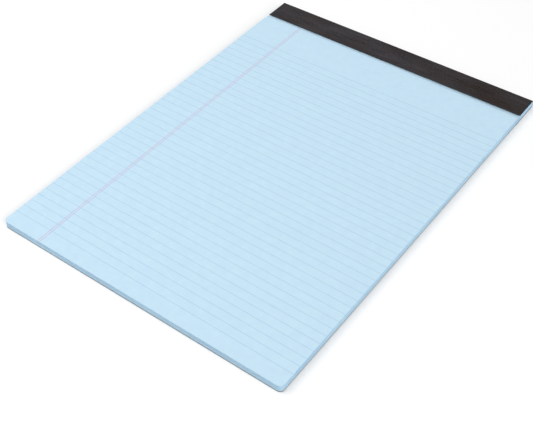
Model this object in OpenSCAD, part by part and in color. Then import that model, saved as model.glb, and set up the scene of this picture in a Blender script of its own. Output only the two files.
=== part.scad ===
// Letter-size legal pad: ruled sheets on a chipboard back, wire-stitched at the head and bound with a
// folded strip of tape. X runs across the pad, +Y points to the bound head and +Z is the writing side.
// The origin is under the middle of the pad, on the surface that it lies on.

/* [Sheets] */
// Width of the sheets, and of the whole pad
sheet_w = 215.9; // [100:0.1:300]
// Length of a sheet once it is torn off
sheet_l = 279.4; // [120:0.1:420]
// Number of sheets
sheet_count = 50; // [20:1:100]
// Thickness of one sheet
sheet_t = 0.084; // [0.06:0.002:0.16]
// Radius of the two foot corners
corner_r = 3; // [0.5:0.1:12]
// Width of the scored tear line
tear_w = 0.3; // [0.1:0.05:0.5]
// Strip of sheet that shows between the tape and the tear line
tear_gap = 0.5; // [0.3:0.1:3]

/* [Backing board] */
// Thickness of the chipboard back
board_t = 0.7; // [0.6:0.05:2]

/* [Binding tape] */
// Thickness of the tape
tape_t = 0.2; // [0.1:0.01:0.4]
// Width of the strip of tape before it is folded over the head
tape_w = 50.8; // [42:0.1:70]
// Length of tape on the front of the pad
front_flap_l = 20.6; // [15:0.1:28]
// Radius that the head edges are pressed to, inside the tape
fold_r = 0.4; // [0.1:0.05:0.5]
// Radius of the tape's rise over a wire crown
rise_r = 3; // [2:0.1:5]

/* [Wire stitches] */
// Number of stitches across the head
stitch_count = 2; // [2:1:5]
// Distance from the first stitch to the last, as a share of the width of the sheets
stitch_spread_share = 0.45; // [0.4:0.01:0.8]
// Diameter of the wire
wire_d = 0.5; // [0.35:0.05:0.55]
// Length of a crown, between the middles of its legs
crown_l = 12.7; // [10:0.1:20]
// Length of a clinched wire end, from the middle of its leg
clinch_l = 4.5; // [3:0.1:4.8]
// Radius of the bends, at the middle of the wire
bend_r = 0.6; // [0.4:0.05:1]
// Distance from the head of the sheets to the wire
stitch_inset = 10; // [6:0.1:12]
// Height of a crown above the front sheet
crown_rise = 0.34; // [0.1:0.02:0.4]
// Clearance round the wire
wire_gap = 0.03; // [0.02:0.01:0.05]

/* [Hidden] */
$fn = 64;
// How far a cut runs past what it cuts
overrun = 1;
quarter_turn = 90;

// Heights of the layers, from the surface that the pad lies on
board_z = tape_t;
pages_z = board_z + board_t;
pages_t = sheet_count * sheet_t;
front_z = pages_z + pages_t;

// Places along the pad
stub_l = front_flap_l + tear_gap;
sheets_l = sheet_l + stub_l;
foot_y = -(sheets_l + tape_t) / 2;
head_y = foot_y + sheets_l;
tear_y = head_y - stub_l;
stitch_y = head_y - stitch_inset;

// What the front flap and the spine leave of the strip
back_flap_l = tape_w - front_flap_l - board_t - pages_t;

// Wire stitches
wire_r = wire_d / 2;
bed_r = wire_r + wire_gap;
stitch_pitch = sheet_w * stitch_spread_share / (stitch_count - 1);
crown_z = front_z + crown_rise - wire_r;
clinch_z = board_z + wire_gap + wire_r;
leg_x = crown_l / 2;

// The rise of the tape over a crown clears the wire by the same gap as its holes do
rise_z = front_z + crown_rise + wire_gap + tape_t - rise_r;

// Extrudes a profile, drawn with Y across and Z up, to a length along X, centred
module across(length) {
    rotate([quarter_turn, 0, quarter_turn])
        linear_extrude(length, center = true)
            children();
}

// Repeats a shape at each stitch
module at_stitches() {
    for (i = [0 : stitch_count - 1])
        translate([(i - (stitch_count - 1) / 2) * stitch_pitch, stitch_y, 0])
            children();
}

// Outline of the sheets and the board, square at the head and rounded at the foot
module sheet_outline() {
    difference() {
        translate([-sheet_w / 2, foot_y])
            square([sheet_w, sheets_l]);
        for (side = [0, 1])
            mirror([side, 0])
                translate([sheet_w / 2 - corner_r, foot_y + corner_r])
                    difference() {
                        translate([0, -corner_r - overrun])
                            square(corner_r + overrun);
                        circle(corner_r);
                    }
    }
}

// What is pressed off a head edge that runs along X, with the centre of its round at the origin
module head_edge_waste() {
    across(sheet_w + 2 * overrun)
        difference() {
            square(fold_r + overrun);
            circle(fold_r);
        }
}

// One bend of the wire, a quarter turn from +X to +Z
module wire_bend(radius) {
    rotate([quarter_turn, 0, 0])
        rotate_extrude(angle = quarter_turn)
            translate([bend_r, 0])
                circle(radius);
}

// A straight run of wire along +X
module wire_run(radius, length) {
    rotate([0, quarter_turn, 0])
        cylinder(h = length, r = radius);
}

// One stitch: a crown, two legs, and ends clinched towards each other. tip lengthens the ends.
module stitch(radius, tip = 0) {
    straight_l = crown_l - 2 * bend_r;
    translate([-straight_l / 2, 0, crown_z])
        wire_run(radius, straight_l);
    for (side = [0, 1])
        mirror([side, 0, 0]) {
            translate([leg_x - bend_r, 0, crown_z - bend_r])
                wire_bend(radius);
            translate([leg_x, 0, clinch_z + bend_r])
                cylinder(h = crown_z - clinch_z - 2 * bend_r, r = radius);
            translate([leg_x - bend_r, 0, clinch_z + bend_r])
                mirror([0, 0, 1])
                    wire_bend(radius);
            translate([leg_x - clinch_l - tip, 0, clinch_z])
                wire_run(radius, clinch_l + tip - bend_r);
        }
}

// The holes and grooves of one stitch. The clinched ends lie in grooves that are open below.
module stitch_bed() {
    stitch(bed_r, wire_gap);
    for (side = [0, 1])
        mirror([side, 0, 0])
            translate([leg_x - clinch_l - wire_gap, -bed_r, clinch_z - bed_r - overrun])
                cube([clinch_l + wire_gap, 2 * bed_r, bed_r + overrun]);
}

// A round bar with ball ends, along X
module ball_ended_bar(radius, length) {
    rotate([0, quarter_turn, 0])
        rotate_extrude()
            intersection() {
                union() {
                    translate([-radius, -length / 2])
                        square([2 * radius, length]);
                    for (end = [-1, 1])
                        translate([0, end * length / 2])
                            circle(radius);
                }
                translate([0, -length / 2 - radius])
                    square([radius, length + 2 * radius]);
            }
}

// The part of a tape rise that stands above a level
module tape_rise(radius, level) {
    intersection() {
        translate([0, 0, rise_z])
            ball_ended_bar(radius, crown_l);
        translate([-crown_l / 2 - radius, -radius, level])
            cube([crown_l + 2 * radius, 2 * radius, radius]);
    }
}

// One fold of the tape round a pressed head edge, with its centre at the origin
module tape_fold() {
    intersection() {
        difference() {
            circle(fold_r + tape_t);
            circle(fold_r);
        }
        square(fold_r + tape_t);
    }
}

// Section of the tape: front flap, fold, spine, fold and back flap
module tape_section() {
    fold_y = head_y - fold_r;
    translate([head_y - front_flap_l, front_z])
        square([front_flap_l - fold_r, tape_t]);
    translate([fold_y, front_z - fold_r])
        tape_fold();
    translate([head_y, board_z + fold_r])
        square([tape_t, front_z - board_z - 2 * fold_r]);
    translate([fold_y, board_z + fold_r])
        mirror([0, 1])
            tape_fold();
    translate([head_y - back_flap_l, 0])
        square([back_flap_l - fold_r, tape_t]);
}

// The sheets as one block
module page_block() {
    color("#c5e2f3")
        difference() {
            translate([0, 0, pages_z])
                linear_extrude(pages_t)
                    sheet_outline();
            translate([0, head_y - fold_r, front_z - fold_r])
                head_edge_waste();
            translate([-sheet_w / 2 - overrun, tear_y - tear_w / 2, front_z - sheet_t])
                cube([sheet_w + 2 * overrun, tear_w, sheet_t + overrun]);
            at_stitches()
                stitch_bed();
        }
}

// Chipboard back
module backing_board() {
    color("#7f7a76")
        difference() {
            translate([0, 0, board_z])
                linear_extrude(board_t)
                    sheet_outline();
            translate([0, head_y - fold_r, board_z + fold_r])
                mirror([0, 0, 1])
                    head_edge_waste();
            at_stitches()
                stitch_bed();
        }
}

// Strip of tape folded over the head
module binding_tape() {
    color("#3a3738")
        difference() {
            union() {
                across(sheet_w)
                    tape_section();
                at_stitches()
                    tape_rise(rise_r, front_z);
            }
            at_stitches()
                tape_rise(rise_r - tape_t, front_z - tape_t);
        }
}

// Wire stitches
module staples() {
    color("#b9bcc0")
        at_stitches()
            stitch(wire_r);
}

page_block();
backing_board();
binding_tape();
staples();
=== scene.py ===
"""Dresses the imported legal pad: ruled sheets, chipboard back, folded binding tape and wire stitches.

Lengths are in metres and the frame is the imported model's: +X to the right of the page, +Y to the bound
head and +Z out of the writing side, with the origin under the middle of the pad.
"""

import logging
import math
import random
from collections.abc import Callable, Iterable, Sequence
from dataclasses import dataclass, field
from enum import Enum
from itertools import pairwise
from typing import NamedTuple

import bpy
from mathutils import Matrix, Vector


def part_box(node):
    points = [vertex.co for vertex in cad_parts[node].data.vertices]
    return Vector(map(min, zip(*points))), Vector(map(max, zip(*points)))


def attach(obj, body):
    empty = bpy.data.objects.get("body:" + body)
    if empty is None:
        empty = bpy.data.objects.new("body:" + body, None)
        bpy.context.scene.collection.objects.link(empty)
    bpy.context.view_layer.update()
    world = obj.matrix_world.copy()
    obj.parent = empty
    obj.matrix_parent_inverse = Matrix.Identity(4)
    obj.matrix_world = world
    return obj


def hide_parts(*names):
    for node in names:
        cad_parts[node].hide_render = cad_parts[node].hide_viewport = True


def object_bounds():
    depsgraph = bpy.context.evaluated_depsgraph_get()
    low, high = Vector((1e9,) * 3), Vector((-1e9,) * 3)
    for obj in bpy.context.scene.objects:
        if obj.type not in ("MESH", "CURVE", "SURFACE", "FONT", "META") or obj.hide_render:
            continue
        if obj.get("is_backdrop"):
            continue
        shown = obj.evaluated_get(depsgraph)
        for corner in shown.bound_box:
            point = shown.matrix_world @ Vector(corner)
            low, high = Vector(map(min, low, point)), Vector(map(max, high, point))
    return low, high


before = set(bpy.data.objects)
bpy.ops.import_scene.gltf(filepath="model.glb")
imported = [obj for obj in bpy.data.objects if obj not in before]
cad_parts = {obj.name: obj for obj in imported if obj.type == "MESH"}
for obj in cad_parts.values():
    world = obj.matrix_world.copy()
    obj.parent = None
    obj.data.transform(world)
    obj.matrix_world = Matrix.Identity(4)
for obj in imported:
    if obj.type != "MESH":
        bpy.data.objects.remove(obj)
CAD_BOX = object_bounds()

LOG = logging.getLogger("legal_pad")
MM = 0.001
QUARTER_TURN = math.pi / 2
BODY = "root"

Point = tuple[float, float]
Spot = tuple[float, float, float]
Colour = tuple[float, float, float, float]

# Gives where a point of a plan lies, from its level, the point and its outward direction
Place = Callable[[int, Point, Point], Spot]

# Outward direction of a point that isn't on the rim of its plan
INNER: Point = (0.0, 0.0)

# Keeps the outward direction at a sharp corner of a rim from growing too long
MITRE_LIMIT = 0.5

# Stretches of a noise's values, which lie about 0.5, and the stretch that a full pattern fills
SOFT: Point = (0.3, 0.7)
CRISP: Point = (0.35, 0.65)
FULL: Point = (0.0, 1.0)

# Sockets of a colour Mix node, which share their names with those of its other data types
MIX_FACTOR, MIX_A, MIX_B, MIX_RESULT = 0, 6, 7, 2


class Slot(Enum):
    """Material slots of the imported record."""

    PAPER = "paper"
    BOARD = "board"
    TAPE = "tape"


class Ink(Enum):
    """Printed lines of a sheet, each with the sRGB colours of its full and its thin ink on the paper."""

    RULE = ("#96bdd6", "#a5cadf")
    MARGIN = ("#ca9ec1", "#ceaacb")


def linear(hex_colour: str) -> Colour:
    """Turn an sRGB colour, written as #rrggbb, into a linear one with an alpha of 1."""
    shares = [int(hex_colour[i : i + 2], 16) / 255 for i in (1, 3, 5)]
    red, green, blue = (s / 12.92 if s <= 0.04045 else ((s + 0.055) / 1.055) ** 2.4 for s in shares)
    return red, green, blue, 1.0


def per_metre(size_mm: float) -> float:
    """Give the texture scale at which one cell of a pattern measures size_mm."""
    return 1 / (size_mm * MM)


def smooth_step(share: float) -> float:
    """Ease a share from 0 to 1, level at both ends."""
    share = min(max(share, 0.0), 1.0)
    return share * share * (3 - 2 * share)


def even_steps(start: float, end: float, step: float) -> list[float]:
    """Give values from start to end, both included, in even steps no longer than step."""
    count = max(1, math.ceil(abs(end - start) / step))
    return [start + (end - start) * i / count for i in range(count + 1)]


def pulled_in(point: Point, outward: Point, inset: float) -> Point:
    """Move a point of a rim inwards by an inset."""
    return point[0] - outward[0] * inset, point[1] - outward[1] * inset


def add_node(
    tree: bpy.types.NodeTree, kind: str, inputs: dict | None = None, **settings: str
) -> bpy.types.Node:
    """Add a shader node with its settings, values and links.

    Args:
        tree: Node tree that gets the node.
        kind: Node type, without the ShaderNode at its start.
        inputs: Value or linked output socket for each input, by name or index.
        **settings: Properties of the node.

    Returns:
        The new node.
    """
    node = tree.nodes.new(f"ShaderNode{kind}")
    for name, value in settings.items():
        setattr(node, name, value)
    for key, value in (inputs or {}).items():
        if isinstance(value, bpy.types.NodeSocket):
            tree.links.new(value, node.inputs[key])
        else:
            node.inputs[key].default_value = value
    return node


def bare_tree(owner: bpy.types.Material | bpy.types.World) -> bpy.types.NodeTree:
    """Turn on the nodes of a new material or world, and give its node tree with nothing in it."""
    owner.use_nodes = True
    owner.node_tree.nodes.clear()
    return owner.node_tree


def add_object(name: str, data: bpy.types.ID) -> bpy.types.Object:
    """Add an object to the scene, with its mesh, light or camera."""
    made = bpy.data.objects.new(name, data)
    bpy.context.scene.collection.objects.link(made)
    return made


@dataclass
class Plan:
    """A flat layout of points, and of the cells between them that are material."""

    points: list[Point] = field(default_factory=list)
    cells: list[tuple[int, ...]] = field(default_factory=list)

    def row(self, points: Iterable[Point]) -> list[int]:
        """Add a row of points, in order of their first coordinate, and give their indices."""
        first = len(self.points)
        self.points.extend(points)
        return list(range(first, len(self.points)))

    def strip(self, low: Sequence[int], high: Sequence[int], cut: frozenset[int] = frozenset()) -> None:
        """Fill the strip between two rows of as many points.

        Args:
            low: Lower row.
            high: Upper row.
            cut: Positions in the strip of the cells that are left open.
        """
        for i in range(len(low) - 1):
            if i not in cut:
                self.cells.append((low[i], low[i + 1], high[i + 1], high[i]))

    def zip_rows(self, low: Sequence[int], high: Sequence[int], fine_is_high: bool) -> None:
        """Fill the strip between a row and a finer one that holds all its places.

        Args:
            low: Lower row.
            high: Upper row.
            fine_is_high: True if the upper row is the finer one.
        """
        coarse, fine = (low, high) if fine_is_high else (high, low)
        at = {self.points[i][0]: n for n, i in enumerate(fine)}
        for a, b in pairwise(coarse):
            run = fine[at[self.points[a][0]] : at[self.points[b][0]] + 1]
            cell = [a, b, *reversed(run)] if fine_is_high else [*run, b, a]
            self.cells.append(tuple(cell))

    def grid(self, rows: Iterable[Iterable[Point]]) -> list[list[int]]:
        """Add rows of as many points, fill the strips between them and give the indices by row."""
        made = [self.row(row) for row in rows]
        for low, high in pairwise(made):
            self.strip(low, high)
        return made

    def rim(self) -> tuple[list[tuple[int, int]], dict[int, Point]]:
        """Find the edges that have material on one side only.

        Returns:
            The edges, with material on their left, and the outward direction at each of their points.
        """
        edges = {edge for cell in self.cells for edge in zip(cell, cell[1:] + cell[:1], strict=True)}
        rim = [(a, b) for a, b in sorted(edges) if (b, a) not in edges]
        normals: dict[int, list[Vector]] = {}
        for a, b in rim:
            along = Vector(self.points[b]) - Vector(self.points[a])
            out = Vector((along.y, -along.x)).normalized()
            for i in (a, b):
                normals.setdefault(i, []).append(out)
        outward = {}
        for i, found in normals.items():
            mitre = (found[0] + found[-1]) / max(1 + found[0].dot(found[-1]), MITRE_LIMIT)
            outward[i] = (mitre.x, mitre.y)
        return rim, outward


@dataclass
class MeshBuilder:
    """Collects closed solids and makes one mesh object of them."""

    vertices: list[Spot] = field(default_factory=list)
    faces: list[tuple[int, ...]] = field(default_factory=list)

    def add_solid(self, plan: Plan, levels: int, place: Place) -> "MeshBuilder":
        """Add a closed solid that stands on a plan.

        Args:
            plan: Layout of the solid.
            levels: Number of levels, from the underside up. Those between the ends are walls only.
            place: Gives where each point of the plan lies at each level.

        Returns:
            The builder itself.
        """
        rim, outward = plan.rim()
        rings: list[dict[int, int]] = []
        for level in range(levels):
            members = range(len(plan.points)) if level in (0, levels - 1) else outward
            ring = {}
            for i in members:
                ring[i] = len(self.vertices)
                self.vertices.append(place(level, plan.points[i], outward.get(i, INNER)))
            rings.append(ring)
        for cell in plan.cells:
            self.faces.append(tuple(rings[-1][i] for i in cell))
            self.faces.append(tuple(rings[0][i] for i in reversed(cell)))
        for low, high in pairwise(rings):
            self.faces.extend((low[a], low[b], high[b], high[a]) for a, b in rim)
        return self

    def piece(self, name: str, sharp_deg: float) -> bpy.types.Object:
        """Make the object, shaded smooth where its faces turn by no more than sharp_deg."""
        mesh = bpy.data.meshes.new(name)
        mesh.from_pydata(self.vertices, [], self.faces)
        mesh.validate()
        mesh.shade_smooth()
        mesh.set_sharp_from_angle(angle=math.radians(sharp_deg))
        return add_object(name, mesh)


def seat(piece: bpy.types.Object, material: bpy.types.Material, slot: Slot, *nodes: str) -> None:
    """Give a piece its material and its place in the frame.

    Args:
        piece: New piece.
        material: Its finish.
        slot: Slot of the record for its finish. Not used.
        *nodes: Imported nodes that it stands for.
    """
    piece.data.materials.append(material)
    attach(piece, BODY)
    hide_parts(*nodes)
    LOG.info("%s: %d faces, %s", piece.name, len(piece.data.polygons), material.name)


@dataclass(frozen=True)
class Surface:
    """A material under way: its node tree, its shader and the coordinates that its patterns follow."""

    material: bpy.types.Material
    tree: bpy.types.NodeTree
    shader: bpy.types.Node
    coordinates: bpy.types.NodeSocket

    @classmethod
    def start(cls, name: str, **constants: float) -> "Surface":
        """Start a material with one shader.

        Args:
            name: Name of the material.
            **constants: Values that are the same all over, by socket name with _ for a space.

        Returns:
            The material under way.
        """
        material = bpy.data.materials.new(name)
        tree = bare_tree(material)
        values = {key.replace("_", " "): value for key, value in constants.items()}
        shader = add_node(tree, "BsdfPrincipled", values)
        add_node(tree, "OutputMaterial", {"Surface": shader.outputs["BSDF"]})
        coordinates = add_node(tree, "TexCoord").outputs["Object"]
        return cls(material, tree, shader, coordinates)

    def noise(
        self, size_mm: float, detail: float = 2.0, stretch: Sequence[float] = (1, 1, 1)
    ) -> bpy.types.NodeSocket:
        """Add noise of a real size.

        Args:
            size_mm: Size of one patch across.
            detail: Finer octaves.
            stretch: How many times longer a patch is along each axis.

        Returns:
            Values about 0.5.
        """
        scale = [per_metre(size_mm) / s for s in stretch]
        mapped = add_node(self.tree, "Mapping", {"Vector": self.coordinates, "Scale": scale})
        inputs = {"Vector": mapped.outputs["Vector"], "Scale": 1.0, "Detail": detail}
        return add_node(self.tree, "TexNoise", inputs).outputs["Fac"]

    def spread(
        self, value: bpy.types.NodeSocket, within: Point = SOFT, to: Point = FULL
    ) -> bpy.types.NodeSocket:
        """Map a stretch of values to another.

        Args:
            value: Values to map.
            within: Limits of the stretch.
            to: What those limits become.

        Returns:
            The mapped values.
        """
        limits = {"From Min": within[0], "From Max": within[1], "To Min": to[0], "To Max": to[1]}
        return add_node(self.tree, "MapRange", {"Value": value, **limits}).outputs["Result"]

    def mix(
        self,
        factor: bpy.types.NodeSocket,
        first: Colour | bpy.types.NodeSocket,
        second: Colour | bpy.types.NodeSocket,
    ) -> bpy.types.NodeSocket:
        """Mix two colours, each a value or a socket. The factor is the share of the second."""
        inputs = {MIX_FACTOR: factor, MIX_A: first, MIX_B: second}
        return add_node(self.tree, "Mix", inputs, data_type="RGBA").outputs[MIX_RESULT]

    def feed(self, socket: str, value: bpy.types.NodeSocket) -> None:
        """Link a value to an input of the shader."""
        self.tree.links.new(value, self.shader.inputs[socket])

    def relief(self, height: bpy.types.NodeSocket, depth_mm: float, strength: float) -> None:
        """Give the shader a bump of a real depth.

        Args:
            height: Height, from 0 to 1.
            depth_mm: Depth of the bump.
            strength: Share of it that shows.
        """
        inputs = {"Height": height, "Distance": depth_mm * MM, "Strength": strength}
        self.feed("Normal", add_node(self.tree, "Bump", inputs).outputs["Normal"])


@dataclass(frozen=True)
class BondPaper:
    """Uncoated bond paper, dyed in the pulp.

    It is matt, a little cloudy where the fibres lie thicker, and has a fine tooth. The tooth of real bond
    is about 0.1 mm across: it is drawn coarser here, so that it shows.
    """

    name: str = "dyed_bond_paper"
    colour: str = "#c7e4f4"
    cloud_colour: str = "#c3dff2"
    cloud_mm: float = 4.0
    tooth_mm: float = 0.5
    tooth_depth_mm: float = 0.02
    roughness: Point = (0.82, 0.94)
    specular: float = 0.2
    ior: float = 1.5

    def material(self) -> bpy.types.Material:
        """Make matt paper with faint clouds and a tooth."""
        surface = Surface.start(self.name, Specular_IOR_Level=self.specular, IOR=self.ior)
        cloud = surface.spread(surface.noise(self.cloud_mm, detail=4.0))
        surface.feed("Base Color", surface.mix(cloud, linear(self.colour), linear(self.cloud_colour)))
        tooth = surface.noise(self.tooth_mm, detail=3.0)
        surface.feed("Roughness", surface.spread(tooth, to=self.roughness))
        surface.relief(tooth, self.tooth_depth_mm, strength=0.5)
        return surface.material


@dataclass(frozen=True)
class CutEdges:
    """The guillotined edges of a pile of bond sheets.

    Each sheet's edge takes the light a little differently, so the pile shows streaks that run along the
    sheets. Real streaks are one sheet thick, 0.08 mm: these are drawn coarser, so that they show.
    """

    name: str = "guillotined_paper_edges"
    colour: str = "#c4e1f2"
    streak_colour: str = "#aecee4"
    streak_mm: float = 0.3
    streak_length: float = 120.0
    fibre_mm: float = 0.12
    fibre_length: float = 4.0
    fibre_depth_mm: float = 0.02
    roughness: float = 0.92
    specular: float = 0.15

    def material(self) -> bpy.types.Material:
        """Make matt paper edges with streaks along the sheets."""
        surface = Surface.start(self.name, Specular_IOR_Level=self.specular, Roughness=self.roughness)
        along = (self.streak_length, self.streak_length, 1)
        streak = surface.spread(surface.noise(self.streak_mm, stretch=along), CRISP)
        surface.feed("Base Color", surface.mix(streak, linear(self.colour), linear(self.streak_colour)))
        fibre = surface.noise(self.fibre_mm, stretch=(self.fibre_length, self.fibre_length, 1))
        surface.relief(fibre, self.fibre_depth_mm, strength=0.4)
        return surface.material


@dataclass(frozen=True)
class PrintedInk:
    """Thin offset ink, soaked into the paper, so it is as matt as the paper and a little uneven."""

    ink: Ink
    patch_mm: float = 1.5
    patch_within: Point = (0.35, 0.75)
    roughness: float = 0.85
    specular: float = 0.2

    def material(self) -> bpy.types.Material:
        """Make matt ink with thinner patches."""
        name = f"{self.ink.name.lower()}_ink"
        surface = Surface.start(name, Specular_IOR_Level=self.specular, Roughness=self.roughness)
        full, thin = self.ink.value
        patch = surface.spread(surface.noise(self.patch_mm, detail=3.0), self.patch_within)
        surface.feed("Base Color", surface.mix(patch, linear(full), linear(thin)))
        return surface.material


@dataclass(frozen=True)
class BindingPaper:
    """Black latex-filled binding paper, embossed with a fine grain.

    It is near black, and its shader has little sheen. The tops of the grain are rubbed paler, in faint
    streaks along the strip. Both tones drift at random between a darker warm colour and a paler cool one,
    and the paler cool one is partly painted sheen. The real grain is about 0.3 mm across: it is drawn
    coarser, so that it shows.
    """

    name: str = "embossed_binding_paper"
    # Dark and rubbed tones, warm and darker or cool and paler: the paler cool ones are partly painted
    # sheen
    warm_colours: tuple[str, str] = ("#191412", "#3b3432")
    cool_sheen_colours: tuple[str, str] = ("#252327", "#484447")
    tone_and_sheen_mm: float = 22.0
    tone_and_sheen_length: float = 2.5
    streak_mm: float = 2.2
    streak_length: float = 8.0
    streak_within: Point = (0.35, 0.7)
    streak_share: float = 0.45
    grain_mm: float = 0.9
    grain_length: float = 1.6
    grain_depth_mm: float = 0.08
    rubbed_within: Point = (0.36, 0.68)
    rubbed_share: float = 0.75
    roughness: Point = (0.5, 0.65)
    specular: float = 0.06
    ior: float = 1.5

    def material(self) -> bpy.types.Material:
        """Make near-black grained paper with rubbed streaks."""
        surface = Surface.start(self.name, Specular_IOR_Level=self.specular, IOR=self.ior)
        # Partly painted sheen: a slow drift towards the paler cool colours stands in for sheen
        tone_and_sheen = surface.spread(surface.noise(self.tone_and_sheen_mm, stretch=(self.tone_and_sheen_length, 1, 1)), CRISP)
        pairs = zip(self.warm_colours, self.cool_sheen_colours, strict=True)
        black, rubbed = (surface.mix(tone_and_sheen, linear(warm), linear(cool)) for warm, cool in pairs)
        streak = surface.noise(self.streak_mm, stretch=(self.streak_length, 1, 1))
        streak = surface.spread(streak, self.streak_within, (0.0, self.streak_share))
        grain = surface.noise(self.grain_mm, detail=4.0, stretch=(self.grain_length, 1, 1))
        tops = surface.spread(grain, self.rubbed_within, (0.0, self.rubbed_share))
        surface.feed("Base Color", surface.mix(tops, surface.mix(streak, black, rubbed), rubbed))
        surface.feed("Roughness", surface.spread(grain, to=self.roughness))
        surface.relief(grain, self.grain_depth_mm, strength=0.6)
        return surface.material


@dataclass(frozen=True)
class Chipboard:
    """Recycled chipboard, pressed from mixed waste paper: a warm grey, flecked, matt and fibrous."""

    name: str = "recycled_chipboard"
    colour: str = "#827d78"
    dark_fleck: str = "#5b5753"
    pale_fleck: str = "#a49e98"
    cloud_mm: float = 7.0
    cloud_share: float = 0.35
    fleck_mm: float = 0.9
    dark_length: float = 2.2
    dark_within: Point = (0.58, 0.72)
    dark_share: float = 0.8
    pale_length: float = 2.6
    pale_within: Point = (0.6, 0.72)
    pale_share: float = 0.7
    fibre_mm: float = 0.5
    fibre_length: float = 1.6
    fibre_depth_mm: float = 0.05
    roughness: Point = (0.86, 0.98)
    specular: float = 0.15

    @classmethod
    def cut(cls) -> "Chipboard":
        """Give the board's cut edge, which is darker: partly its pressed, torn fibres, and partly painted
        shade for the light that those fibres hold.
        """
        return cls("cut_chipboard_edge", colour="#69645f", dark_fleck="#494541", pale_fleck="#89837d")

    def material(self) -> bpy.types.Material:
        """Make matt board with clouds, dark and pale flecks, and fibres."""
        surface = Surface.start(self.name, Specular_IOR_Level=self.specular)
        cloud = surface.spread(surface.noise(self.cloud_mm, detail=3.0), to=(0.0, self.cloud_share))
        base = surface.mix(cloud, linear(self.colour), linear(self.dark_fleck))
        dark = surface.noise(self.fleck_mm, detail=4.0, stretch=(self.dark_length, 1, 1))
        dark = surface.spread(dark, self.dark_within, (0.0, self.dark_share))
        pale = surface.noise(self.fleck_mm, detail=3.0, stretch=(1, self.pale_length, 1))
        pale = surface.spread(pale, self.pale_within, (0.0, self.pale_share))
        flecked = surface.mix(dark, base, linear(self.dark_fleck))
        surface.feed("Base Color", surface.mix(pale, flecked, linear(self.pale_fleck)))
        fibre = surface.noise(self.fibre_mm, detail=4.0, stretch=(self.fibre_length, 1, 1))
        surface.feed("Roughness", surface.spread(fibre, to=self.roughness))
        surface.relief(fibre, self.fibre_depth_mm, strength=0.6)
        return surface.material


@dataclass(frozen=True)
class StitchWire:
    """Galvanised stitching wire, drawn through a die: a soft grey shine with fine lines along it."""

    name: str = "drawn_galvanised_wire"
    colour: str = "#b7babd"
    dull_colour: str = "#8f9397"
    line_mm: float = 0.06
    line_length: float = 20.0
    roughness: Point = (0.28, 0.48)

    def material(self) -> bpy.types.Material:
        """Make metal with duller lines along the wire."""
        surface = Surface.start(self.name, Metallic=1.0)
        line = surface.noise(self.line_mm, stretch=(self.line_length, 1, 1))
        dull = surface.spread(line, CRISP)
        surface.feed("Base Color", surface.mix(dull, linear(self.colour), linear(self.dull_colour)))
        surface.feed("Roughness", surface.spread(line, to=self.roughness))
        return surface.material


@dataclass(frozen=True)
class Pad:
    """Sizes of the pad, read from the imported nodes, and the few that no node's box gives."""

    half_w: float
    foot_y: float
    head_y: float
    board_z: float
    pages_z: float
    front_z: float
    back_edge_y: float
    stitch_y: float
    stitch_x: float
    rise: float
    crown_half: float = 6.6 * MM
    corner_r: float = 3.0 * MM
    corner_steps: int = 8
    column_clear: float = 4.5 * MM
    fold_r: float = 0.4 * MM
    front_flap: float = 20.6 * MM
    tear_gap: float = 0.5 * MM
    slit_w: float = 0.24 * MM
    sheet_count: int = 50

    @classmethod
    def read(cls) -> "Pad":
        """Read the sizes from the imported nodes."""
        pages_low, pages_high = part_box("page_block")
        board_low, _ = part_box("backing_board")
        tape_low, tape_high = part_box("binding_tape")
        wire_low, wire_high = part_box("staples")
        return cls(
            half_w=pages_high.x,
            foot_y=pages_low.y,
            head_y=pages_high.y,
            board_z=board_low.z,
            pages_z=pages_low.z,
            front_z=pages_high.z,
            back_edge_y=tape_low.y,
            stitch_y=(wire_low.y + wire_high.y) / 2,
            stitch_x=wire_high.x - cls.crown_half,
            rise=tape_high.z - pages_high.z - board_low.z,
        )

    @property
    def tape_t(self) -> float:
        """Thickness of the tape, which lifts the board off the surface under the pad."""
        return self.board_z

    @property
    def pages_t(self) -> float:
        """Thickness of all the sheets under the tape."""
        return self.front_z - self.pages_z

    @property
    def front_edge_y(self) -> float:
        """Edge of the tape on the front."""
        return self.head_y - self.front_flap

    @property
    def tear_y(self) -> float:
        """Middle of the row of tear slits."""
        return self.front_edge_y - self.tear_gap

    @property
    def slit_ys(self) -> Point:
        """The two sides of the row of tear slits."""
        return self.tear_y - self.slit_w / 2, self.tear_y + self.slit_w / 2

    def half_width(self, y: float) -> float:
        """Give half the width of a sheet at a place along it, less where a foot corner is round."""
        into = self.foot_y + self.corner_r - y
        if into <= 0:
            return self.half_w
        return self.half_w - self.corner_r + math.sqrt(max(self.corner_r**2 - into**2, 0.0))

    def corner_ys(self) -> list[float]:
        """Give the places along the sheet that step evenly round a foot corner."""
        turns = [QUARTER_TURN * i / self.corner_steps for i in range(self.corner_steps + 1)]
        return [self.foot_y + self.corner_r * (1 - math.cos(turn)) for turn in turns]

    def columns(self, step: float, extra: Iterable[float] = ()) -> list[float]:
        """Give the places across a sheet, short of its round corners, with the extra ones among them."""
        reach = self.half_w - self.column_clear
        return sorted({*even_steps(-reach, reach, step), *extra})

    def rows(self, xs: Sequence[float], ys: Iterable[float]) -> list[list[Point]]:
        """Lay out a row of points across a sheet, from edge to edge, for each place along it."""
        return [[(x, y) for x in (-self.half_width(y), *xs, self.half_width(y))] for y in ys]

    def fold_inset(self, depth: float) -> float:
        """Give how far a head edge is pressed back at a depth below the outer face of the pile."""
        into = max(self.fold_r - depth, 0.0)
        return self.fold_r - math.sqrt(max(self.fold_r**2 - into**2, 0.0))


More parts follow.
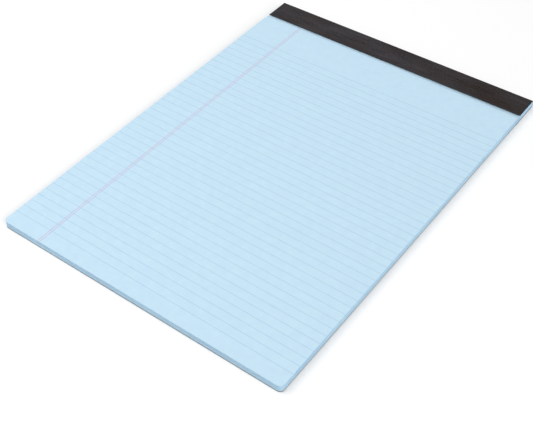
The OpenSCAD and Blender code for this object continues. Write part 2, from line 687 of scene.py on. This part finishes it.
@dataclass(frozen=True)
class Lie:
    """How the sheets lie: pressed under the tape, creased along the tear line, a little wavy below it."""

    pad: Pad
    # How much thicker the loose pile is than the pressed one
    swell: float = 0.44 * MM
    # Crease: its depth, what it gains at the right end, and its length under the tape
    crease: float = 0.7 * MM
    crease_right: float = 0.2 * MM
    crease_run: float = 2.5 * MM
    crease_steps: int = 6
    # Slope below the tear line, where the sheets open
    opening: float = 1.6 * MM
    opening_steps: int = 14
    # Waves of the pile: height, lengths, share of those across, angles at the middle and skew
    wave: float = 0.03 * MM
    wave_x: float = 118.0 * MM
    wave_y: float = 83.0 * MM
    across_share: float = 0.6
    start_x: float = 0.7
    start_y: float = 1.9
    skew: float = 0.9
    # Lift of the front sheet's foot: height, run along the sheet, and how it waves across
    lift: float = 0.03 * MM
    lift_run: float = 55.0 * MM
    lift_x: float = 334.6 * MM
    lift_mean: float = 0.55
    lift_swing: float = 0.45
    lift_start: float = 0.4
    # Clearance between the sheets and the tape
    under_tape: float = 0.004 * MM

    def loose(self, y: float) -> float:
        """Give how loose the sheets are, from 0 at the tear line to 1."""
        return 1 - math.exp(min(y - self.pad.tear_y, 0.0) / self.opening)

    def opening_ys(self) -> list[float]:
        """Give the places below the tear line at which the sheets have risen by even steps."""
        shares = [i / self.opening_steps for i in range(1, self.opening_steps)]
        return [self.pad.tear_y + self.opening * math.log(share) for share in shares]

    def creased(self, y: float) -> float:
        """Give how far the crease of the tear line presses the sheets down, from 0 to 1."""
        return min(1 - self.loose(y), 1 - smooth_step((y - self.pad.front_edge_y) / self.crease_run))

    def gripped_ys(self) -> list[float]:
        """Give the places under the tape between which the sheets come up to it."""
        edge_y = self.pad.front_edge_y
        return even_steps(edge_y, edge_y + self.crease_run, self.crease_run / self.crease_steps)

    def thickness(self, x: float, y: float) -> float:
        """Give the height of the pile of sheets above the board."""
        across = math.sin(math.tau * x / self.wave_x + self.start_x)
        along = math.sin(math.tau * y / self.wave_y + self.start_y + self.skew * x / self.pad.half_w)
        ripple = self.wave * (self.across_share * across + along)
        crease = self.crease + self.crease_right * smooth_step(x / self.pad.half_w)
        risen = self.loose(y) * (self.swell + ripple) - self.creased(y) * crease
        return self.pad.pages_t - self.under_tape + risen

    def sheet_t(self, x: float, y: float) -> float:
        """Give one sheet's share of the pile's thickness."""
        return self.thickness(x, y) / self.pad.sheet_count

    def front(self, x: float, y: float) -> float:
        """Give the height of the front sheet's face in the frame. Its foot lifts a little."""
        near_foot = smooth_step(1 - (y - self.pad.foot_y) / self.lift_run)
        uneven = self.lift_mean + self.lift_swing * math.sin(math.tau * x / self.lift_x + self.lift_start)
        return self.pad.pages_z + self.thickness(x, y) + self.lift * near_foot * uneven


@dataclass(frozen=True)
class SheetStack:
    """All the sheets but the front one, as one pile whose walls show the edge of every sheet."""

    pad: Pad
    lie: Lie
    column_step: float = 11.0 * MM
    row_step: float = 6.0 * MM
    gap_share: float = 0.14
    gap_depth: float = 0.09 * MM
    wander: float = 0.11 * MM
    wander_share: float = 0.5
    slit_depth: float = 0.6 * MM
    slit_slope: float = 0.01 * MM
    sharp_deg: float = 60.0
    seed: int = 50

    def levels(self) -> list[Point]:
        """Give the height share and the inset of each line round the pile.

        Returns:
            Two lines for each sheet and one for each gap between two sheets, from the board up.
        """
        draw = random.Random(self.seed)
        count = self.pad.sheet_count
        insets = [0.0]
        for _ in range(count - 2):
            step = draw.uniform(-self.wander_share, self.wander_share) * self.wander
            insets.append(min(max(insets[-1] + step, 0.0), self.wander))
        levels = [(0.0, insets[0])]
        for k, (inset, above) in enumerate(pairwise(insets), start=1):
            levels.append(((k - self.gap_share) / count, inset))
            levels.append((k / count, max(inset, above) + self.gap_depth))
            levels.append(((k + self.gap_share) / count, above))
        levels.append(((count - 1 - self.gap_share) / count, insets[-1]))
        return levels

    def build(self) -> bpy.types.Object:
        """Build the pile, cut by its tear slits just below those of the front sheet."""
        pad, levels = self.pad, self.levels()
        low, high = pad.slit_ys
        cut_ys = (low + self.slit_slope, high - self.slit_slope)
        near_ys = [y for y in self.lie.opening_ys() if y < low]
        open_ys = even_steps(pad.foot_y + pad.corner_r, near_ys[0], self.row_step)
        ys = [*pad.corner_ys(), *open_ys[1:], *near_ys[1:], low, *cut_ys, high]
        plan = Plan()
        plan.grid(pad.rows(pad.columns(self.column_step), [*ys, *self.lie.gripped_ys(), pad.head_y]))

        def place(level: int, point: Point, outward: Point) -> Spot:
            """Place a point of the pile, on one of the lines round it."""
            share, inset = levels[level]
            height = share * self.lie.thickness(*point)
            x, y = pulled_in(point, outward, inset)
            if outward[1] > 0:
                y = point[1] - pad.fold_inset(pad.pages_t - height)
            if level and outward == INNER and point[1] in cut_ys:
                height -= self.slit_depth
            return x, y, pad.pages_z + height

        return MeshBuilder().add_solid(plan, len(levels), place).piece("sheet_stack", self.sharp_deg)

    def dress(self, piece: bpy.types.Object) -> None:
        """Give the pile its cut paper edges."""
        seat(piece, CutEdges().material(), Slot.PAPER, "page_block")


@dataclass(frozen=True)
class Ruling:
    """The lines that are printed on a sheet. The margin's ink is thicker, as it lies over the rules."""

    pad: Pad
    head_margin: float = 54.35 * MM
    pitch: float = 6.35 * MM
    foot_margin: float = 10.0 * MM
    rule_w: float = 0.24 * MM
    rule_film: float = 0.008 * MM
    left_margin: float = 31.1 * MM
    margin_gap: float = 1.6 * MM
    margin_w: float = 0.28 * MM
    margin_film: float = 0.016 * MM
    soak: float = 0.004 * MM
    side_clear: float = 0.03 * MM
    sharp_deg: float = 35.0

    def rule_ys(self) -> list[float]:
        """Give the middles of the rules along the sheet, from the foot up."""
        top = self.pad.head_y - self.head_margin
        count = int((top - self.pad.foot_y - self.foot_margin) / self.pitch) + 1
        return [top - i * self.pitch for i in reversed(range(count))]

    def margin_xs(self) -> list[float]:
        """Give the places of the two margin lines across the sheet."""
        middle = self.left_margin - self.pad.half_w
        return [middle - self.margin_gap / 2, middle + self.margin_gap / 2]

    def line_place(self, lie: Lie, film: float, x: float | None = None, y: float | None = None) -> Place:
        """Give the placing of a printed line, which is level from side to side.

        Args:
            lie: How the sheet lies.
            film: Thickness of the ink on the paper.
            x: Middle of a line that runs along the sheet.
            y: Middle of a line that runs across it.

        Returns:
            A placing of two levels, one in the paper and one on it.
        """

        def place(level: int, point: Point, outward: Point) -> Spot:
            """Place a point of the line, in the paper at level 0 and on it at level 1."""
            height = lie.front(point[0] if x is None else x, point[1] if y is None else y)
            return *point, height + (film if level else -self.soak)

        return place

    def build_rules(self, sheet: "FrontSheet") -> bpy.types.Object:
        """Build the rules as one piece of thin films of ink that follow the front sheet."""
        builder = MeshBuilder()
        for y in self.rule_ys():
            reach = self.pad.half_width(y) - sheet.inset - self.side_clear
            xs = [-reach, *sheet.columns(), reach]
            plan = Plan()
            plan.grid([[(x, y + side * self.rule_w / 2) for x in xs] for side in (-1, 1)])
            builder.add_solid(plan, 2, self.line_place(sheet.lie, self.rule_film, y=y))
        return builder.piece("ruled_lines", self.sharp_deg)

    def build_margin(self, sheet: "FrontSheet") -> bpy.types.Object:
        """Build the margin lines as one piece of thin films of ink that follow the front sheet."""
        builder = MeshBuilder()
        foot = self.pad.foot_y + sheet.inset + self.side_clear
        ys = [foot, *(y for y in sheet.open_ys() if y > foot)]
        for x in self.margin_xs():
            plan = Plan()
            plan.grid([[(x + side * self.margin_w / 2, y) for side in (-1, 1)] for y in ys])
            builder.add_solid(plan, 2, self.line_place(sheet.lie, self.margin_film, x=x))
        return builder.piece("margin_lines", self.sharp_deg)

    def dress(self, rules: bpy.types.Object, margin: bpy.types.Object) -> None:
        """Give the lines their inks."""
        seat(rules, PrintedInk(Ink.RULE).material(), Slot.PAPER, "page_block")
        seat(margin, PrintedInk(Ink.MARGIN).material(), Slot.PAPER, "page_block")


@dataclass(frozen=True)
class FrontSheet:
    """The front sheet, with its row of tear slits just below the tape.

    Real micro-perforations are about 0.4 mm apart: these are cut coarser, so that they show.
    """

    pad: Pad
    lie: Lie
    ruling: Ruling
    column_step: float = 7.0 * MM
    inset: float = 0.02 * MM
    slit_pitch: float = 1.2 * MM
    slit_l: float = 0.8 * MM
    slit_margin: float = 0.1 * MM
    side_margin: float = 0.8 * MM
    head_margin: float = 1.0 * MM
    same_place: float = 0.06 * MM
    sharp_deg: float = 35.0

    def columns(self) -> list[float]:
        """Give the places across the sheet, with one under each margin line."""
        return self.pad.columns(self.column_step, self.ruling.margin_xs())

    def open_ys(self) -> list[float]:
        """Give the places along the sheet from its foot to its slits, with one under each rule."""
        last = self.pad.slit_ys[0] - self.slit_margin
        near_ys = [y for y in self.lie.opening_ys() if y < last]
        ys = self.pad.corner_ys()
        for low, high in pairwise((ys[-1], *self.ruling.rule_ys(), near_ys[0])):
            ys.extend(even_steps(low, high, self.ruling.pitch / 2)[1:])
        return [*ys, *near_ys[1:], last]

    def slit_columns(self) -> tuple[list[float], frozenset[int]]:
        """Lay out the row of slits.

        Returns:
            Places across the sheet, and which of the cells between them are slits.
        """
        pad = self.pad
        count = int((2 * pad.half_w - self.side_margin) / self.slit_pitch)
        starts = [(i - count / 2) * self.slit_pitch for i in range(count)]
        fixed = [-pad.half_w, *self.columns(), pad.half_w]
        xs = set(fixed)
        for x in (end for start in starts for end in (start, start + self.slit_l)):
            if min(abs(x - place) for place in fixed) > self.same_place:
                xs.add(x)
        places = sorted(xs)
        middles = [(a + b) / 2 for a, b in pairwise(places)]
        slits = (i for i, x in enumerate(middles) if any(s < x < s + self.slit_l for s in starts))
        return places, frozenset(slits)

    def build(self) -> bpy.types.Object:
        """Build the sheet, with its slits cut through."""
        pad = self.pad
        plan = Plan()
        page = plan.grid(pad.rows(self.columns(), self.open_ys()))
        xs, slits = self.slit_columns()
        below, above = (plan.row((x, y) for x in xs) for y in pad.slit_ys)
        stub_ys = (*self.lie.gripped_ys(), pad.head_y - self.head_margin)
        stub = plan.grid(pad.rows(self.columns(), stub_ys))
        plan.zip_rows(page[-1], below, fine_is_high=True)
        plan.strip(below, above, slits)
        plan.zip_rows(above, stub[0], fine_is_high=False)

        def place(level: int, point: Point, outward: Point) -> Spot:
            """Place a point of the sheet, on its back at level 0 and on its face at level 1."""
            x, y = point if point[1] in pad.slit_ys else pulled_in(point, outward, self.inset)
            return x, y, self.lie.front(*point) - (1 - level) * self.lie.sheet_t(*point)

        return MeshBuilder().add_solid(plan, 2, place).piece("front_sheet", self.sharp_deg)

    def dress(self, piece: bpy.types.Object) -> None:
        """Give the sheet its paper."""
        seat(piece, BondPaper().material(), Slot.PAPER, "page_block")


@dataclass(frozen=True)
class BackingBoard:
    """The chipboard back, with edges that the knife left pressed and a little fibrous.

    The profile gives the share of the thickness and the inset in mm of each line round the cut edge.
    """

    pad: Pad
    step: float = 4.0 * MM
    fray: float = 0.03 * MM
    profile: tuple[Point, ...] = (
        (0.0, 0.07),
        (0.06, 0.02),
        (0.2, 0.0),
        (0.42, 0.02),
        (0.66, 0.0),
        (0.9, 0.01),
        (1.0, 0.05),
    )
    edge_tilt: float = 0.7
    sharp_deg: float = 50.0
    seed: int = 7

    def build(self) -> bpy.types.Object:
        """Build the board."""
        pad = self.pad
        draw = random.Random(self.seed)
        board_t = pad.pages_z - pad.board_z
        ys = [*pad.corner_ys(), *even_steps(pad.foot_y + pad.corner_r, pad.head_y, self.step)[1:]]
        plan = Plan()
        plan.grid(pad.rows(pad.columns(self.step), ys))

        def place(level: int, point: Point, outward: Point) -> Spot:
            """Place a point of the board, on one of the lines round its cut edge."""
            share, inset_mm = self.profile[level]
            height = share * board_t
            inset = inset_mm * MM + (draw.uniform(0, self.fray) if outward != INNER else 0.0)
            x, y = pulled_in(point, outward, inset)
            if outward[1] > 0:
                y = point[1] - pad.fold_inset(height)
            return x, y, pad.board_z + height

        solid = MeshBuilder().add_solid(plan, len(self.profile), place)
        return solid.piece("chipboard_back", self.sharp_deg)

    def dress(self, piece: bpy.types.Object) -> None:
        """Give the board its chipboard, and to the faces that stand up the cut edge's darker colour,
        which is partly painted shade.
        """
        seat(piece, Chipboard().material(), Slot.BOARD, "backing_board")
        # The cut edge's darker colour is partly painted shade
        piece.data.materials.append(Chipboard.cut().material())
        for face in piece.data.polygons:
            face.material_index = int(abs(face.normal.z) < self.edge_tilt)


class Station(NamedTuple):
    """A place on the middle of the tape's section, and the direction out of the pad there."""

    y: float
    z: float
    out_y: float
    out_z: float


@dataclass(frozen=True)
class BindingTape:
    """The strip of tape, folded over the head.

    It is tented over each wire crown, and its front edge stands off the sheet, most at the right.
    """

    pad: Pad
    column_step: float = 1.2 * MM
    front_step: float = 0.4 * MM
    back_step: float = 1.4 * MM
    fold_steps: int = 6
    # Slope of the tent over a crown, and half the width of its flat top
    rise_reach: float = 5.5 * MM
    crest: float = 0.4 * MM
    # Lift of the front edge: its height, what it gains at the right end, and its run
    edge_lift: float = 0.102 * MM
    edge_lift_right: float = 0.238 * MM
    edge_run: float = 3.5 * MM
    sharp_deg: float = 60.0

    def stations(self) -> list[Station]:
        """Give the section's middle, from the tape's front edge over both folds to its back edge."""
        pad = self.pad
        half_t = pad.tape_t / 2
        radius = pad.fold_r + half_t
        fold_y = pad.head_y - pad.fold_r
        front_ys = even_steps(pad.front_edge_y, fold_y, self.front_step)
        back_ys = even_steps(fold_y, pad.back_edge_y, self.back_step)[1:]
        turns = [QUARTER_TURN * i / self.fold_steps for i in range(self.fold_steps + 1)]
        folds = [(pad.front_z - pad.fold_r, turn) for turn in reversed(turns[:-1])]
        folds.extend((pad.board_z + pad.fold_r, -turn) for turn in turns)
        found = [Station(y, pad.front_z + half_t, 0.0, 1.0) for y in front_ys]
        for centre_z, turn in folds:
            out_y, out_z = math.cos(turn), math.sin(turn)
            found.append(Station(fold_y + radius * out_y, centre_z + radius * out_z, out_y, out_z))
        found.extend(Station(y, half_t, 0.0, -1.0) for y in back_ys)
        return found

    def rise(self, x: float, y: float) -> float:
        """Give how far the tape is tented over the nearer wire crown."""
        pad = self.pad
        off_x = max(abs(abs(x) - pad.stitch_x) - pad.crown_half, 0.0)
        off = max(math.hypot(off_x, y - pad.stitch_y) - self.crest, 0.0)
        return pad.rise * (1 - smooth_step(off / self.rise_reach))

    def curl(self, x: float, y: float) -> float:
        """Give how far the tape stands off the sheet near its front edge."""
        near_edge = smooth_step(1 - (y - self.pad.front_edge_y) / self.edge_run)
        return near_edge * (self.edge_lift + self.edge_lift_right * smooth_step(x / self.pad.half_w))

    def build(self) -> bpy.types.Object:
        """Build the folded tape."""
        pad = self.pad
        stations = self.stations()
        xs = even_steps(-pad.half_w, pad.half_w, self.column_step)
        plan = Plan()
        plan.grid([(x, float(i)) for x in xs] for i in range(len(stations)))

        def place(level: int, point: Point, outward: Point) -> Spot:
            """Place a point of the tape, on its inner face at level 0 and its outer at level 1.

            The point is its place across the pad and the number of its station.
            """
            x, number = point
            y, z, out_y, out_z = stations[int(number)]
            side = (level - 0.5) * pad.tape_t
            lift = self.rise(x, y) + self.curl(x, y) if out_z == 1 else 0.0
            return x, y + side * out_y, z + side * out_z + lift

        return MeshBuilder().add_solid(plan, 2, place).piece("folded_tape", self.sharp_deg)

    def dress(self, piece: bpy.types.Object) -> None:
        """Give the tape its grained paper."""
        seat(piece, BindingPaper().material(), Slot.TAPE, "binding_tape")


@dataclass(frozen=True)
class WireStitches:
    """The wire stitches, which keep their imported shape."""

    node: str = "staples"

    def dress(self) -> None:
        """Give the wire its metal."""
        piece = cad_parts[self.node]
        piece.data.materials.clear()
        piece.data.materials.append(StitchWire().material())
        LOG.info("%s: packed shape, %s", piece.name, piece.data.materials[0].name)


@dataclass(frozen=True)
class Lamp:
    """One soft box, turned to the middle of the pad."""

    name: str
    place: Spot
    size: float
    watts: float

    def add(self) -> None:
        """Add the lamp."""
        light = bpy.data.lights.new(self.name, "AREA")
        light.shape = "SQUARE"
        light.size = self.size
        light.energy = self.watts
        lamp = add_object(self.name, light)
        lamp.location = self.place
        lamp.rotation_euler = (-Vector(self.place)).to_track_quat("-Z", "Y").to_euler()


@dataclass(frozen=True)
class Studio:
    """Pale floor, soft light and a camera at the photograph's place."""

    pad: Pad
    floor_half: float = 8.0
    floor_colour: str = "#e0e0e0"
    # What the camera sees the floor glow with, so that it shows white, and the even light on the pad
    floor_glow: float = 0.27
    ambient: float = 0.425
    sky_colour: str = "#ffffff"
    image_w_px: int = 533
    focal_px: float = 996.7
    sensor_mm: float = 36.0
    azimuth_deg: float = 37.78
    elevation_deg: float = 44.78
    roll_deg: float = -1.51
    aim_x: float = 21.08 * MM
    aim_y: float = -47.06 * MM
    distance: float = 627.7 * MM
    lamps: tuple[Lamp, ...] = (
        Lamp("key_softbox", place=(-0.75, -0.45, 1.25), size=1.1, watts=11.5),
        Lamp("fill_softbox", place=(4.3, -1.1, 2.3), size=3.4, watts=150.0),
    )

    @property
    def aim(self) -> Vector:
        """The point of the front sheet at the middle of the picture."""
        return Vector((self.aim_x, self.aim_y, self.pad.front_z))

    @staticmethod
    def ray_strength(tree: bpy.types.NodeTree, unseen: float, seen: float) -> bpy.types.NodeSocket:
        """Part what the camera sees, straight or in a mirror or glass, from the light on the pad.

        Args:
            tree: Node tree that gets the nodes.
            unseen: Strength of the light that falls on the pad.
            seen: Strength that the camera sees.

        Returns:
            The strength for each ray.
        """
        path = add_node(tree, "LightPath").outputs
        share = path["Is Camera Ray"]
        for ray in ("Is Glossy Ray", "Is Transmission Ray"):
            share = add_node(tree, "Math", {0: share, 1: path[ray]}, operation="MAXIMUM").outputs["Value"]
        limits = {"Value": share, "To Min": unseen, "To Max": seen}
        return add_node(tree, "MapRange", limits).outputs["Result"]

    def add_world(self) -> None:
        """Light the pad evenly from all round, against a white background."""
        world = bpy.data.worlds.new("studio")
        tree = bare_tree(world)
        strength = self.ray_strength(tree, unseen=self.ambient, seen=1.0)
        sky = add_node(tree, "Background", {"Color": linear(self.sky_colour), "Strength": strength})
        add_node(tree, "OutputWorld", {"Surface": sky.outputs["Background"]})
        bpy.context.scene.world = world

    def add_floor(self) -> None:
        """Lay a pale floor that shows white where no shadow falls."""
        half = self.floor_half
        mesh = bpy.data.meshes.new("studio_floor")
        corners = [(-half, -half, 0.0), (half, -half, 0.0), (half, half, 0.0), (-half, half, 0.0)]
        mesh.from_pydata(corners, [], [(0, 1, 2, 3)])
        material = bpy.data.materials.new("pale_floor")
        tree = bare_tree(material)
        matt = add_node(tree, "BsdfDiffuse", {"Color": linear(self.floor_colour)})
        strength = self.ray_strength(tree, unseen=0.0, seen=self.floor_glow)
        glow = add_node(tree, "Emission", {"Strength": strength})
        both = add_node(tree, "AddShader", {0: matt.outputs["BSDF"], 1: glow.outputs["Emission"]})
        add_node(tree, "OutputMaterial", {"Surface": both.outputs["Shader"]})
        mesh.materials.append(material)
        floor = add_object("studio_floor", mesh)
        floor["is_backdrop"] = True

    def add_camera(self) -> None:
        """Set the camera where the photograph was taken from."""
        turn, rise = math.radians(self.azimuth_deg), math.radians(self.elevation_deg)
        back = Vector((math.sin(turn) * math.cos(rise), -math.cos(turn) * math.cos(rise), math.sin(rise)))
        right = Vector((math.cos(turn), math.sin(turn), 0.0))
        axes = Matrix((right, back.cross(right), back)).transposed()
        data = bpy.data.cameras.new("photo_camera")
        data.sensor_fit = "HORIZONTAL"
        data.sensor_width = self.sensor_mm
        data.lens = self.focal_px * self.sensor_mm / self.image_w_px
        camera = add_object("photo_camera", data)
        camera.matrix_world = (
            Matrix.Translation(self.aim + back * self.distance)
            @ axes.to_4x4()
            @ Matrix.Rotation(math.radians(self.roll_deg), 4, "Z")
        )
        bpy.context.scene.camera = camera

    def build(self) -> None:
        """Set up the camera, the floor and the light."""
        bpy.context.scene.view_settings.view_transform = "Standard"
        self.add_camera()
        self.add_world()
        self.add_floor()
        for lamp in self.lamps:
            lamp.add()


def write_sizes() -> None:
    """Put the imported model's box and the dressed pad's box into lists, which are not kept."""
    boxes = {"cad": CAD_BOX, "visual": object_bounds()}
    {name: [list(corner) for corner in box] for name, box in boxes.items()}


def main() -> None:
    """Set up the studio, then build the pad's pieces in order."""
    logging.basicConfig(level=logging.INFO, format="%(name)s: %(message)s")
    pad = Pad.read()
    Studio(pad).build()
    lie = Lie(pad)
    ruling = Ruling(pad)
    front = FrontSheet(pad, lie, ruling)
    for part in (BackingBoard(pad), SheetStack(pad, lie), front, BindingTape(pad)):
        part.dress(part.build())
    ruling.dress(ruling.build_rules(front), ruling.build_margin(front))
    WireStitches().dress()
    write_sizes()


if __name__ == "__main__":
    main()
